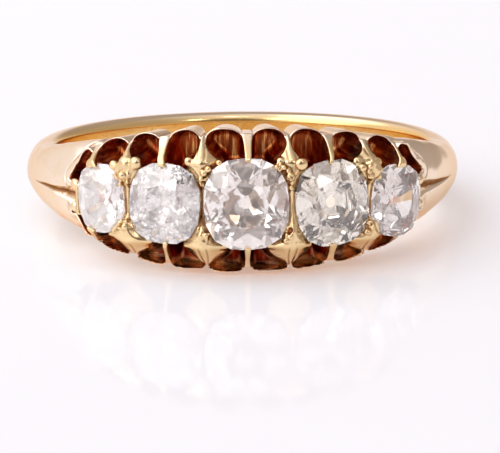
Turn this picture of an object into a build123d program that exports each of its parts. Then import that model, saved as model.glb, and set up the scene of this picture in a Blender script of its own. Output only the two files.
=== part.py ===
"""A five stone half hoop ring in yellow gold, carved from one piece, lying on its side.

The ring is modelled round its own axis, with the middle stone facing -Y. An angle is measured round that
axis from the middle stone, towards +X. At the end the whole ring is tipped until its wide head and its
narrow back both rest on the ground. All sizes are in millimetres and degrees.
"""

import os
from collections import namedtuple
from math import asin, atan2, cos, degrees, pi, radians, sin

from build123d import *

# The hoop
finger_radius = 8.65
back_width = 2.3
back_thickness = 1.15
shoulder_width = 4.6
shoulder_thickness = 1.55
hoop_start = 33.0  # angle where the hoop runs into the head
narrow_angle = 92.0  # where its shoulders have narrowed to the back's width
hoop_steps = 12  # sections of its loft on each side
wall_share = 0.4  # of the hoop's thickness, up its straight sides
edge_round = 0.14  # the worn edge along the finger hole
overlap = 0.3  # how far joined metal runs past the face it joins
boat_overlap = 0.6  # the same for the head, which crosses the hoop and so runs deeper
bore_reach = 12.0  # how far the bore's cutter runs each way

# The carved head
head_width = 6.4
head_reach = 52.0  # angle of its end
head_fullness = 2.2  # 2 is an oval outline, more is fuller
rim_height = 1.7  # of the scalloped rim, over the finger
top_height = 2.87  # of the metal between the stones, over the finger
top_width = 4.7
top_reach = 48.5
top_fullness = 2.8
top_fall = 6.0  # how late the top falls toward the shoulders
foot_inset = 0.08  # each side of the head narrows by this toward the finger
blunt_top = 0.1  # half the top's width at its ends
notch_depth = 0.2  # between two lobes of the rim
boat_shares = (0.0, 0.2, 0.4, 0.58, 0.74, 0.87, 0.96)  # of the reach, where its sections stand

# The scallops cut into the head
lip = 0.2  # the thin wall outside a scallop
scallop_floor = 0.7  # metal left between a scallop and the finger
scallop_draft = 6.0
scallop_arch = 0.4  # of its width: the rounding of its two corners at the rim
scallop_rise = 0.55  # of its side along the middle rib: the most that the corner there takes
scallop_corner = 0.16  # its other corners
end_round = 0.5  # where the end scallop turns
scallop_mouth = 0.72  # of its width that is left beside the stone
under_stone = 0.32  # how far it runs in under the stone's edge
middle_rib = 0.36  # the rib at the middle of a stone
between_rib = 0.3  # the rib between two stones, at the rim
end_claw = 0.5  # the claw at the end of the head
end_shoulder = 0.55  # of the way to that claw, where the end scallop turns toward it
cutter_reach = 13.0  # radius that every outward cut runs past

# The cuts beside the ridge between two stones
ridge_width = 0.2
groove_width = 0.14
groove_runs = 3  # their cutters' length, in slopes of the rib

# The grooves carved along the shoulders
groove_tip = 74.0
groove_root = 49.0
shoulder_groove_width = 1.0
shoulder_groove_depth = 0.45
groove_tip_share = 0.05

# The stones and their seats: a stone's rib is the angle of its middle rib, its level is along the axis
clearance = 0.03
claw_cover = 0.14  # how far the metal reaches over a stone's edge
girdle = 0.08
squareness = 2.7  # of the cushion outline, where 2 is an oval
culet = 0.12  # of the stone's outline
half_run = 0.86  # of a main facet's run, for the same rise: the facets along the girdle are steeper
star_run = 1.5  # the same for the facets round the table, which are flatter
azure_share = 0.55  # of the stone's outline, the hole behind it
bare_side = 0.55  # of a stone's length, where no metal covers its sides

# The grains, small balls of metal that hold the stones
grain_radius = 0.22
grain_spread = 0.4  # from the middle of the metal between two stones
grain_height = 0.93  # of half a stone's length
grain_sink = 0.08
end_grain_radius = 0.32

Stone = namedtuple("Stone", "name angle rib width length level seat crown pavilion table turn")
stones = [
    Stone("stone_left_end", -35.3, -38.4, 2.5, 3.1, -0.04, 2.38, 0.42, 1.0, 0.54, 4),
    Stone("stone_left", -18.6, -19.9, 3.26, 3.58, -0.04, 2.55, 0.5, 1.3, 0.5, -3),
    Stone("stone_middle", 0.0, 0.35, 3.74, 4.05, 0.0, 2.6, 0.56, 1.5, 0.52, 2),
    Stone("stone_right", 19.7, 20.9, 3.44, 3.82, -0.09, 2.55, 0.5, 1.3, 0.56, 6),
    Stone("stone_right_end", 37.2, 40.0, 2.8, 3.24, -0.28, 2.38, 0.44, 1.0, 0.46, -6),
]

rim_radius = finger_radius + rim_height
girdle_points = 16


def radial(angle):
    return Vector(sin(radians(angle)), -cos(radians(angle)), 0)


def along(angle):
    return Vector(cos(radians(angle)), sin(radians(angle)), 0)


def section_plane(angle):
    """Holds the ring's axis: x runs outward, y along the axis."""
    return Plane(origin=(0, 0, 0), x_dir=radial(angle), z_dir=-along(angle))


def facing_plane(angle, radius):
    """Faces outward at a radius: x runs round the ring, y along its axis."""
    return Plane(origin=radial(angle) * radius, x_dir=along(angle), z_dir=radial(angle))


def oval_share(share, fullness):
    """Half width of an outline, as a share, at a share of its reach."""
    return (1 - min(abs(share), 1) ** fullness) ** (1 / fullness)


def rim_half(angle):
    return head_width / 2 * oval_share(angle / head_reach, head_fullness)


def top_half(angle):
    return top_width / 2 * oval_share(angle / top_reach, top_fullness)


def top_radius(angle):
    fall = (top_height - shoulder_thickness) * abs(angle / head_reach) ** top_fall
    return finger_radius + top_height - fall


def edge_angle(stone, side):
    """Angle of a stone's edge, on either side along the hoop."""
    reach = asin(stone.width / 2 / (finger_radius + stone.seat))
    return stone.angle + side * degrees(reach)


gaps = [(edge_angle(near, 1) + edge_angle(far, -1)) / 2 for near, far in zip(stones, stones[1:])]


def swell(angle, end):
    """Falls smoothly from 1 where the hoop starts to 0 at its end angle."""
    way = min((angle - hoop_start) / (end - hoop_start), 1)
    return (1 + cos(pi * way)) / 2


def hoop_profile(angle, side):
    """A section of the hoop: straight walls by the finger, a round back outside."""
    width = back_width + (shoulder_width - back_width) * swell(angle, narrow_angle)
    thickness = back_thickness + (shoulder_thickness - back_thickness) * swell(angle, 180)
    inner = finger_radius - overlap
    wall = finger_radius + thickness * wall_share
    with BuildSketch(section_plane(side * angle)) as profile:
        with BuildLine():
            Polyline(
                (wall, -width / 2),
                (finger_radius + edge_round, -width / 2),
                (inner, -width / 2 + edge_round + overlap),
                (inner, width / 2 - edge_round - overlap),
                (finger_radius + edge_round, width / 2),
                (wall, width / 2),
            )
            ThreePointArc((wall, width / 2), (finger_radius + thickness, 0), (wall, -width / 2))
        make_face()
    return profile


def boat_profile(share):
    """A section of the head, between its notches, with no scallop cut."""
    angle = share * head_reach
    foot = finger_radius - boat_overlap
    rim = max(rim_half(angle) - notch_depth, notch_depth)
    top = max(top_half(angle), blunt_top)
    with BuildSketch(section_plane(angle)) as profile:
        with BuildLine():
            Polyline(
                (foot, -rim + foot_inset),
                (rim_radius, -rim),
                (top_radius(angle), -top),
                (top_radius(angle), top),
                (rim_radius, rim),
                (foot, rim - foot_inset),
                close=True,
            )
        make_face()
    return profile


def stone_half(stone, angle):
    """Half length of a stone's outline at an angle."""
    offset = (finger_radius + stone.seat) * sin(radians(angle - stone.angle))
    return stone.length / 2 * oval_share(offset / (stone.width / 2), squareness)


def scallop_corners(stone, side, far):
    """The corners of one scallop, from the middle rib outward: angle, height along the axis, rounding."""
    near = stone.rib + side * degrees(middle_rib / 2 / rim_radius)
    away = far - side * degrees(between_rib / 2 / rim_radius)
    mouth = near + (away - near) * scallop_mouth
    arch = scallop_arch * rim_radius * abs(radians(away - near))
    root = stone_half(stone, near) - under_stone
    return [
        (near, root, scallop_corner),
        (near, rim_half(near) - lip, min(arch, scallop_rise * (rim_half(near) - lip - root))),
        (away, rim_half(away) - lip, arch),
        (mouth, stone_half(stone, mouth) - under_stone, scallop_corner),
    ]


def end_corners(stone, side):
    """The scallop that wraps round the outer end of an end stone."""
    near = stone.rib + side * degrees(middle_rib / 2 / rim_radius)
    edge = edge_angle(stone, side) - side * degrees(under_stone / rim_radius)
    tip = side * (head_reach - degrees(lip / rim_radius))
    shoulder = near + (tip - near) * end_shoulder
    return [
        (near, stone_half(stone, near) - under_stone, scallop_corner),
        (near, rim_half(near) - lip, end_round / 2),
        (shoulder, rim_half(shoulder) - lip, end_round),
        (tip, end_claw / 2, scallop_corner),
        (edge, end_claw / 2, scallop_corner),
    ]


def scallop_outline(corners, grow=0.0):
    """Drawn where the rim is; grown, it is the outside of the lobe round the scallop."""
    middle = (corners[0][0] + corners[2][0]) / 2
    points = [(rim_radius * sin(radians(angle - middle)), height) for angle, height, rounding in corners]
    with BuildSketch(facing_plane(middle, rim_radius)) as outline:
        with BuildLine():
            Polyline(*points, close=True)
        make_face()
        if grow:
            offset(amount=grow, kind=Kind.INTERSECTION)
        sharp = [tuple(outline.vertices().sort_by_distance((*point, 0))[0]) for point in points]
        for point, corner in zip(sharp, corners):
            fillet(outline.vertices().sort_by_distance(point)[0], corner[-1] + grow)
    return outline


def scallops():
    """Every scallop above the middle of the ring, by its corners."""
    found = []
    for place, stone in enumerate(stones):
        for side, position in ((-1, place - 1), (1, place)):
            if 0 <= position < len(gaps):
                found.append(scallop_corners(stone, side, gaps[position]))
            else:
                found.append(end_corners(stone, side))
    return found


def facet_plane(first, second, third):
    """The plane through three points, facing away from the stone's middle."""
    normal = (second - first).cross(third - first).normalized()
    if normal.dot(first) < 0:
        normal = -normal
    return Plane(origin=first, z_dir=normal)


def cushion_point(stone, place, grow=0.0, share=1.0):
    """A corner of a stone's outline, numbered from +X; grown outward, then scaled."""
    turn = radians(360 * place / girdle_points)
    reach = share / (abs(cos(turn)) ** squareness + abs(sin(turn)) ** squareness) ** (1 / squareness)
    return reach * (stone.width / 2 + grow) * cos(turn), reach * (stone.length / 2 + grow) * sin(turn)


def cushion(stone, grow=0.0, share=1.0):
    return [cushion_point(stone, place, grow, share) for place in range(girdle_points)]


def cut_stone(stone, grow=0.0):
    """A cushion cut from a blank: its girdle is level, its table faces up."""
    half_girdle = girdle / 2 + grow
    crown = stone.crown + grow
    pavilion = stone.pavilion + grow

    def outline_point(place, share, height):
        return Vector(*cushion_point(stone, place, grow, share), height)

    def facets(top, rim, end_share):
        """The main facets and the pairs along the girdle, from the rim to an end share at the top."""
        planes = []
        for place in range(0, girdle_points, 2):
            corner = outline_point(place, 1, rim)
            tip = outline_point(place, end_share, top)
            before = outline_point(place - 1, 1, rim)
            after = outline_point(place + 1, 1, rim)
            planes.append(facet_plane(corner, tip, tip + (after - before)))
            for neighbour in (before, after):
                middle = (corner + neighbour) / 2
                end = middle * (1 - (1 - end_share) * half_run)
                planes.append(facet_plane(corner, neighbour, Vector(end.X, end.Y, top)))
        return planes

    planes = facets(crown, half_girdle, stone.table) + facets(-pavilion, -half_girdle, culet)
    for place in range(0, girdle_points, 2):
        first = outline_point(place, stone.table, crown)
        second = outline_point(place + 2, stone.table, crown)
        foot = (first + second) / 2 * (1 + (1 / stone.table - 1) * star_run)
        planes.append(facet_plane(first, second, Vector(foot.X, foot.Y, half_girdle)))
    with BuildPart() as cut:
        with BuildSketch(Plane.XY.offset(-pavilion)):
            Polygon(*cushion(stone, grow), align=None)
        extrude(amount=pavilion + crown)
        for plane in planes:
            split(bisect_by=plane, keep=Keep.BOTTOM)
    return cut


def stone_place(stone):
    turned = Location((0, stone.level, 0), (0, 0, stone.turn))
    return facing_plane(stone.angle, finger_radius + stone.seat).location * turned


def seat_cutter(stone):
    """What a stone needs: its own room, the way out past its claws and the hole behind it."""
    room = cut_stone(stone, clearance)
    way_out = cutter_reach - finger_radius - stone.seat
    with BuildPart() as cutter:
        add(room.part)
        with BuildSketch():
            Polygon(*cushion(stone, -claw_cover), align=None)
            Rectangle(stone.width + 2 * clearance, stone.length * bare_side)
        extrude(amount=way_out)
        with BuildSketch():
            Polygon(*cushion(stone, 0, azure_share), align=None)
        extrude(amount=-stone.seat - overlap)
    return cutter


def lobe(corners):
    """The rounded wall that stands outside a scallop."""
    outline = scallop_outline(corners, lip).sketch.face()
    with BuildPart() as wall:
        extrude(outline, amount=-rim_height - overlap)
    return wall


def scallop_cutter(corners):
    """Open outward: wide at the rim and above it, narrower at its floor."""
    outline = scallop_outline(corners).sketch.face()
    with BuildPart() as cutter:
        extrude(outline, amount=scallop_floor - rim_height, taper=scallop_draft)
        extrude(outline, amount=cutter_reach - rim_radius)
    return cutter


def ridge_cutter(gap):
    """Two cuts up the metal between two stones that leave a ridge between them."""
    foot = radial(gap) * rim_radius + Vector(0, 0, rim_half(gap))
    head = radial(gap) * top_radius(gap) + Vector(0, 0, top_half(gap))
    slope = head - foot
    with BuildPart() as cutter:
        with BuildSketch(Plane(origin=foot - slope, x_dir=along(gap), z_dir=slope)):
            with GridLocations(ridge_width + groove_width, 0, 2, 1):
                Rectangle(groove_width, groove_width, rotation=45)
        extrude(amount=slope.length * groove_runs)
    return cutter


def grain_spots(gap, near, far):
    """Where the grains stand on the metal between two stones, facing outward."""
    height = (near.length / 2 + far.length / 2) / 2 * grain_height
    sides = [(across, up) for across in (-grain_spread, grain_spread) for up in (-height, height)]
    surface = facing_plane(gap, top_radius(gap)).location
    return [surface * Location((across, up, -grain_sink)) for across, up in sides]


def end_grain_spot(stone, side):
    angle = edge_angle(stone, side) + side * degrees(end_grain_radius / rim_radius)
    return facing_plane(angle, top_radius(angle) - grain_sink)


def shoulder_cutter(side):
    """A carved groove that starts as a point on the shoulder and widens toward the head."""
    surface = finger_radius + shoulder_thickness
    cuts = []
    for angle, share in ((groove_tip, groove_tip_share), (groove_root, 1)):
        half = shoulder_groove_width / 2 * share
        bottom = surface - shoulder_groove_depth * share
        with BuildSketch(section_plane(side * angle)) as cut:
            with BuildLine():
                Polyline((bottom, 0), (surface, half), (cutter_reach, half), (cutter_reach, -half),
                         (surface, -half), close=True)
            make_face()
        cuts.append(cut.sketch.face())
    with BuildPart() as cutter:
        loft(sections=cuts, ruled=True)
    return cutter


boat_places = [-share for share in reversed(boat_shares[1:])] + list(boat_shares)
boat_profiles = [boat_profile(share).sketch.face() for share in boat_places]
with BuildPart() as boat:
    loft(sections=boat_profiles, ruled=True)

hoop_angles = [hoop_start + (180 - hoop_start) * step / hoop_steps for step in range(hoop_steps + 1)]
hoop_profiles = [hoop_profile(angle, 1).sketch.face() for angle in hoop_angles]
hoop_profiles += [hoop_profile(angle, -1).sketch.face() for angle in reversed(hoop_angles[:-1])]
with BuildPart() as hoop:
    loft(sections=hoop_profiles)

upper_scallops = scallops()
lobes = [lobe(corners).part for corners in upper_scallops]
head_cutters = [scallop_cutter(corners).part for corners in upper_scallops]
head_cutters += [ridge_cutter(gap).part for gap in gaps]
shoulder_cutters = [shoulder_cutter(side).part for side in (-1, 1)]
seat_cutters = [seat_cutter(stone).part for stone in stones]
grain_places = []
for gap, near, far in zip(gaps, stones, stones[1:]):
    grain_places += grain_spots(gap, near, far)

with BuildPart() as carved:
    add(boat)
    add(hoop)
    add(lobes)
    mirror(lobes, about=Plane.XY)
    add(head_cutters + shoulder_cutters, mode=Mode.SUBTRACT)
    mirror(head_cutters, about=Plane.XY, mode=Mode.SUBTRACT)
    with Locations(*grain_places):
        Sphere(grain_radius)
    with Locations(end_grain_spot(stones[0], -1), end_grain_spot(stones[-1], 1)):
        Sphere(end_grain_radius)
    for stone, cutter in zip(stones, seat_cutters):
        with Locations(stone_place(stone)):
            add(cutter, mode=Mode.SUBTRACT)
    Cylinder(finger_radius, 2 * bore_reach, mode=Mode.SUBTRACT)

# The ring tips about the X axis until the head's lower rim and the back's lower edge are level
back_wall = finger_radius + back_thickness * wall_share
lean = degrees(atan2((head_width - back_width) / 2, finger_radius + back_wall))
leaning = Rotation(-lean, 0, 0)
leaning_box = (leaning * carved.part).bounding_box()
rest = Location((0, -leaning_box.center().Y, -leaning_box.min.Z)) * leaning

# The cuts may leave a loose chip, so only the ring itself is kept
with BuildPart() as ring_mount:
    with Locations(rest):
        add(carved.solids().sort_by(SortBy.VOLUME)[-1])

os.makedirs("parts", exist_ok=True)
ring_mount.part.label = "ring_mount"
export_step(ring_mount.part, "parts/ring_mount.step")

for stone in stones:
    shape = cut_stone(stone)
    with BuildPart() as diamond:
        with Locations(rest * stone_place(stone)):
            add(shape)
    diamond.part.label = stone.name
    export_step(diamond.part, f"parts/{stone.name}.step")
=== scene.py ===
"""The five stone ring, dressed: a finely carved mount, five cut stones, a studio floor and soft light.

Lengths are in millimetres until a mesh is made. The mount is shaped round the ring's own axis, with the
middle stone facing -Y. Angles are in degrees round that axis, from the middle stone towards +X, and levels
lie along it. The ring is then leaned back by the angle at which it rests.

The mount is a field of distances, negative inside the metal, on a grid of angle, height over the finger
and level. The mesh is the field's zero level.
"""

import math
from collections import namedtuple

import bpy
import numpy as np
from mathutils import Matrix, Vector


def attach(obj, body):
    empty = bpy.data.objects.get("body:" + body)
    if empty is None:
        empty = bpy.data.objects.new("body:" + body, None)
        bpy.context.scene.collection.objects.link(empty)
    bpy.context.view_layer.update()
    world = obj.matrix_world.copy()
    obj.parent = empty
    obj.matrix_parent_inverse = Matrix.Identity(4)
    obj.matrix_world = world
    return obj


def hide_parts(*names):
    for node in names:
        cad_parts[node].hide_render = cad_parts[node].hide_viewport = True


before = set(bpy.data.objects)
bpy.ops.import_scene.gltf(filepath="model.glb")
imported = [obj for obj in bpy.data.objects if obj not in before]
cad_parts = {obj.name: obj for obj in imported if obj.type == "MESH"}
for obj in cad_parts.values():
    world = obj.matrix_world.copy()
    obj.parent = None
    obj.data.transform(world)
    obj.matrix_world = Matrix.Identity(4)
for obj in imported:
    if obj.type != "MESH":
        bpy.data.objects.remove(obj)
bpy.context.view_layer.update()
scene = bpy.context.scene

MM = 0.001
LEAN = math.radians(6.584)  # the ring leans back on its wide head and narrow back
RING_CENTRE = np.array([0.0, 0.984762, 2.187030])

# The hoop
FINGER = 8.65  # radius of the bore
SHOULDER_THICKNESS, BACK_THICKNESS = 1.55, 1.15
SHOULDER_WIDTH, BACK_WIDTH = 4.6, 2.3
HOOP_START = 33.0  # the hoop narrows from here on
NARROW_ANGLE, RAISE_ANGLE, BACK_ANGLE = 92.0, 150.0, 180.0  # where its width, raising and thickness end
BACK_RAISE, BACK_TRIM = 0.1, 0.022  # the back's upper edge is higher, and its lower edge too
SIDE_SHARE, BACK_SIDE_SHARE = 0.45, 0.35  # how much of the thickness is flat side, and what the back adds
HOOP_ROUNDING = 0.3
BORE_ROUNDING, BACK_BORE_ROUNDING = 0.1, 0.4  # of the bore's edges, and what the back adds

# The head
RIM_HEIGHT = 1.7  # the rim is the head's widest line
RIM = FINGER + RIM_HEIGHT
HEAD_WIDTH, HEAD_FULLNESS = 6.4, 2.2
HEAD_REACH, RIGHT_REACH = 52.0, 54.0  # the right end runs a little further round than the left one
TOP_HEIGHT, TOP_WIDTH, TOP_REACH, TOP_FULLNESS, TOP_FALL = 2.87, 3.9, 48.5, 2.8, 6.0
RIB_NOTCH, END_RIB_NOTCH, GAP_NOTCH = 0.20, 0.05, 0.26  # how far the outline dips at ribs and between stones
END_RIBS = 40.0  # a rib past this angle is an end one
LEAN_IN = 0.07  # how far the head's sides draw in from the rim down to the finger
SINK, SINK_START, SINK_LENGTH = 0.32, 43.0, 6.0  # the rim sinks into the shoulders
STONE_SIDE_HEIGHT, STONE_SIDE_SLOPE = 2.64, 0.9  # the metal falls toward each stone's edge
END_HEIGHT, END_FALL, END_LENGTH = 2.9, 1.35, 5.0  # and past the end stones
END_STARTS = (41.5, 44.0)  # where it starts to fall, left and right
SEPTUM_WIDTH, SEPTUM_HALF, SEPTUM_EDGE = 0.45, 1.0, 0.4  # the metal between two stones
TOP_ROUNDING = 0.18
LOBE_HEIGHT, LOBE_ROUNDING, LOBE_BLEND = 0.03, 0.08, 0.04  # the gold round the scallops, over the rim
HOOP_BLEND, END_BLEND, END_BLEND_START, END_BLEND_LENGTH = 0.12, 0.25, 43, 4

# The carving between the stones: a leaf with a fine line along it, wings that fall away from it toward the
# pockets, and the scallops' middle ribs
CARVE_START, CARVE_LENGTH, CARVE_DEPTH = 1.7, 1.2, 0.42  # levels that it spans, from the stones to the rim
CARVE_FADE_START, CARVE_FADE_LENGTH = 1.2, 0.9
LEAF_HALF, LEAF_SWELL = 0.015, 0.14
LEAF_LINE_WIDTH, LEAF_LINE_DEPTH = 0.05, 0.06
WING_SLOPE, LOWER_WING_SLOPE = 0.7, 0.5
RIB_HALF, RIB_SLOPE = 0.2, 0.8
RIB_RAISE, RIB_RAISE_HALF, RIB_RAISE_EDGE = 0.3, 0.34, 0.12  # where a rib meets a stone

# The pockets of the scallops
LIP, LOWER_LIP = 0.10, 0.06  # the gold left standing round them
FLOOR, FLOOR_ROUNDING = 0.7, 0.3
POCKET_TAPER, POCKET_ROUNDING = 0.105, 0.05
FLARE, FLARE_DEPTH = 0.035, 0.2  # they widen a little at the rim

# The carved groove along each shoulder
GROOVE_START, GROOVE_END, GROOVE_LENGTH = 43.0, 76.0, 27.0
GROOVE_DEPTH, GROOVE_MOST, GROOVE_CURVE = 0.31, 1.08, 1.1
GROOVE_SLOPE, GROOVE_STEEPNESS, GROOVE_ROUNDING = 1.2, 1.56, 0.04  # the second turns heights to distances
GROOVE_FADE, GROOVE_FADE_START, GROOVE_FADE_LENGTH = 0.2, 47.0, 4.0
GROOVE_TILTS = ((0.04, 0.26), (0.02, 0.13))  # left and right: how far below the middle, and more at the head

# The raised collar round the end scallops, and the fine line at its foot
COLLAR_WIDTH, COLLAR_HEIGHT, COLLAR_ROUNDING = 0.42, 0.08, 0.05
COLLAR_START, COLLAR_GROWTH = 42.0, 2.0
COLLAR_LEVEL, COLLAR_LEVEL_GROWTH = 0.1, 0.3
LINE_PLACE, LINE_WIDTH, LINE_DEPTH, LINE_FOOT = 0.47, 0.06, 0.09, 0.6

# The openings of the scallops at the rim: from angle to angle, and the side that its middle rib is on
UPPER = [(-38.9, -30.5, -1), (-28.9, -21.5, 1), (-19.2, -11.5, -1), (-9.5, -0.6, 1),
         (1.5, 9.3, -1), (11.2, 19.9, 1), (21.5, 29.3, -1), (31.7, 39.9, 1)]
LOWER = [(-40.0, -30.7, -1), (-27.7, -20.4, 1), (-18.8, -10.6, -1), (-8.9, -0.7, 1),
         (1.3, 9.9, -1), (11.7, 20.1, 1), (22.5, 30.7, -1), (32.7, 41.7, 1)]
UPPER_GAPS, LOWER_GAPS = (-29.7, -10.5, 10.2, 30.5), (-29.2, -9.7, 10.8, 31.7)
UPPER_RIBS, LOWER_RIBS = (-40.9, -20.3, 0.4, 20.7, 41.4), (-41.2, -19.6, 0.3, 21.3, 42.6)

# A scallop's outline, in shares of the way from its middle rib to the next rib and from stone to rim
UPPER_SHAPE = [(0.0, -0.35), (-0.01, 0.0), (0.0, 0.4), (0.05, 0.72), (0.18, 0.93), (0.45, 1.04), (0.74, 1.02),
               (0.95, 0.85), (1.0, 0.58), (0.93, 0.33), (0.78, 0.1), (0.62, -0.08), (0.5, -0.35)]
LOWER_SHAPE = [(0.04, -0.35), (0.0, 0.05), (-0.02, 0.45), (0.02, 0.85), (0.15, 0.97), (0.55, 0.985),
               (0.88, 0.97), (1.02, 0.88), (0.97, 0.73), (0.78, 0.56), (0.56, 0.36), (0.42, 0.08),
               (0.34, -0.35)]
UNDER_STONE = 0.02  # a scallop starts this far inside the stone's edge

# The crescents are the scallops round the row's ends, by side and row
CRESCENT_ENDS = {(-1, 1): 0.42, (1, 1): 0.6, (-1, -1): 0.95, (1, -1): 0.9}  # levels of their inner ends
# The outer edges of the upper ones, as angle and level, from the rib down to the stone's side
CRESCENT_EDGES = {-1: [(44.0, 1.68), (46.2, 1.38), (48.6, 0.90)],
                  1: [(45.0, 1.85), (47.9, 1.44), (50.6, 0.98)]}
CRESCENT_LEAN = 3.0  # degrees by which the end rib leans toward the middle on its way up
CRESCENT_START = 0.8  # degrees from the end rib's middle to the opening
UPPER_TIP, LOWER_TIP = 1.2, 1.4  # degrees past the outer edge's last point, and short of the head's end
LOWER_EDGE_SHARES = (0.4, 0.62, 0.82)

# The seat is the height of a stone's girdle over the finger, and the turn is round the stone's own axis
Stone = namedtuple("Stone", "name angle half_width half_length level seat turn")
STONES = [
    Stone("stone_left_end", -35.3, 1.25, 1.55, -0.04, 2.38, 4),
    Stone("stone_left", -18.6, 1.63, 1.79, -0.04, 2.55, -3),
    Stone("stone_middle", 0.0, 1.87, 2.025, 0.0, 2.6, 2),
    Stone("stone_right", 19.7, 1.72, 1.91, -0.09, 2.55, 6),
    Stone("stone_right_end", 37.2, 1.4, 1.62, -0.28, 2.38, -6),
]
SQUARENESS = 2.7  # 2 would be an oval
GIRDLE = 11.2  # about the radius of the stones' edges
BETWEEN = [(a.angle + math.degrees(a.half_width / GIRDLE) + b.angle - math.degrees(b.half_width / GIRDLE)) / 2
           for a, b in zip(STONES, STONES[1:])]
SEPTUM_DIPS = (0.30, 0.45, 0.0, 0.3)  # how far the metal between two stones lies below the grains
CLEARANCE = 0.03  # round each stone
CLAW = 0.14  # how far the metal reaches over a stone's edge
OPEN_SIDE = 0.55  # the share of a stone's length whose sides nothing covers
HOLE = 0.55  # the hole below a stone, as a share of its outline
STONE_SPAN = 30  # no stone's outline reaches this many degrees

# Grains beside the stones: angle, level, size, how flat, and 1 where the grain has a pit in its top
GRAINS = [
    (-28.3, 1.14, 0.16, 1.0, 0), (-26.9, 0.86, 0.10, 1.0, 0), (-28.9, 0.72, 0.09, 1.0, 0),
    (-9.3, 1.40, 0.13, 1.0, 0), (-9.9, 1.12, 0.10, 1.0, 0), (-8.3, 1.58, 0.12, 0.8, 0),
    (-9.6, 0.86, 0.08, 1.0, 0), (9.7, 1.20, 0.17, 1.0, 1), (12.2, 1.74, 0.23, 0.6, 0),
    (8.2, 1.62, 0.10, 1.0, 0), (9.2, 1.46, 0.09, 1.0, 0), (28.2, 1.20, 0.10, 1.0, 0),
    (29.0, 0.98, 0.10, 1.0, 0), (27.6, 0.80, 0.08, 1.0, 0), (26.7, 1.40, 0.15, 0.7, 0),
    (28.6, 1.42, 0.10, 1.0, 0), (-27.9, -1.14, 0.12, 0.8, 0), (-28.6, -0.9, 0.08, 1.0, 0),
    (-9.0, -1.36, 0.12, 0.8, 0), (9.6, -1.46, 0.10, 0.8, 0), (8.6, -1.62, 0.10, 0.8, 0),
    (28.6, -1.0, 0.09, 1.0, 0), (29.3, -1.3, 0.10, 1.0, 0), (28.2, -1.5, 0.09, 1.0, 0),
    (9.8, 0.71, 0.10, 1.0, 1), (6.6, 1.66, 0.09, 1.0, 0), (-5.9, 1.86, 0.12, 0.8, 0),
]
GRAIN_GROWTH, GRAIN_SINK, GRAIN_BLEND = 1.15, 0.03, 0.03
# Claws at the row's ends and swollen carving: angle, height over the finger, level, size, how flat
CLAWS = [
    (-44.9, 2.02, 0.36, 0.25, 0.8), (-47.2, 1.72, 0.33, 0.22, 0.8), (-49.2, 1.50, 0.27, 0.18, 0.8),
    (-45.6, 1.95, -0.66, 0.25, 0.8), (-47.8, 1.50, -0.66, 0.20, 0.8), (47.6, 1.95, 0.36, 0.22, 0.8),
    (50.0, 1.64, 0.32, 0.20, 0.8), (47.4, 1.74, -0.10, 0.11, 1.0), (47.8, 1.66, -0.34, 0.11, 1.0),
    (48.4, 1.85, -0.75, 0.20, 0.8), (-25.4, 2.60, 1.70, 0.28, 0.8), (-31.2, 2.54, 1.52, 0.22, 0.8),
    (7.7, 2.62, 1.84, 0.20, 0.7), (26.1, 2.56, 1.60, 0.28, 0.7), (31.3, 2.44, 1.50, 0.27, 0.8),
    (-12.9, 2.60, 1.86, 0.20, 0.7),
]
CLAW_BLEND = 0.06
# Where the metal beside the stones is crumbly: angle and level
CRUMBS = [(-27.6, 1.15), (-9.4, 1.25), (8.4, 1.45), (28.9, 1.05),
          (-28.3, -1.15), (-9.2, -1.4), (9.4, -1.5), (28.8, -1.3)]
CRUMB_COUNT, CRUMB_SINK, CRUMB_BLEND = 8, 0.07, 0.02
CRUMB_LEAST, CRUMB_MOST = (-1.3, -0.3, 0.05), (1.3, 0.3, 0.09)  # turn, rise and size of a crumb
# Small holes: angle, radius, level, size
PITS = [(9.5, 11.42, -1.18, 0.14), (-56.8, 10.22, -0.95, 0.06), (-52.9, 10.12, -0.12, 0.06),
        (-44.6, 10.42, -1.74, 0.07)]
GRAIN_PIT_HEIGHT, GRAIN_PIT_SHARE = 0.05, 0.75
CUT_ROUNDING = 0.03  # of the edges of pits and seats
POST = 0.8  # a bead stands on a post of its own width, this long
WOBBLE, WOBBLE_END = 0.012, 80  # slight waves of hand work, as far round as this

FAR = 9.0  # a distance that stands for nothing near
TRIANGLES = 190000  # the mount is thinned to this many

# What the materials read at the mount's corners
HOLLOW_START, HOLLOW_LENGTH = 0.06, 0.22  # depth below the uncut metal
BRINK = 0.45  # how near the rim's edge
CREASE_REACH, CREASE_STRENGTH = 1.6, 0.9  # how sharply the surface folds in, felt this many voxels away


def ramp(value, start, length):
    """0 up to the start, then rising evenly to 1 over the length, which is negative for a fall."""
    return np.clip((value - start) / length, 0, 1)


def eased(value, start, length, amount):
    """The same ramp with soft ends, times an amount."""
    way = ramp(value, start, length)
    return amount * way ** 2 * (3 - 2 * way)


def smooth_min(a, b, k):
    """The lesser of two fields, blended over a width k where they meet."""
    blend = np.maximum(k - np.abs(a - b), 0) / k
    return np.minimum(a, b) - blend * blend * k / 4


def smooth_max(a, b, k):
    return -smooth_min(-a, -b, k)


def oval(share, fullness):
    return (1 - np.minimum(np.abs(share), 1) ** fullness) ** (1 / fullness)


def rim_half(angle, inset=0.0):
    """Half the head's width at its rim."""
    reach = np.where(np.asarray(angle) > 0, RIGHT_REACH, HEAD_REACH) - math.degrees(inset / RIM)
    return (HEAD_WIDTH / 2 - inset) * oval(angle / reach, HEAD_FULLNESS)


def top_half(angle):
    """Half the width of the flat top that the stones are set in."""
    return TOP_WIDTH / 2 * oval(angle / TOP_REACH, TOP_FULLNESS)


def top_height(angle):
    return TOP_HEIGHT - (TOP_HEIGHT - SHOULDER_THICKNESS) * np.abs(angle / HEAD_REACH) ** TOP_FALL


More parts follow.
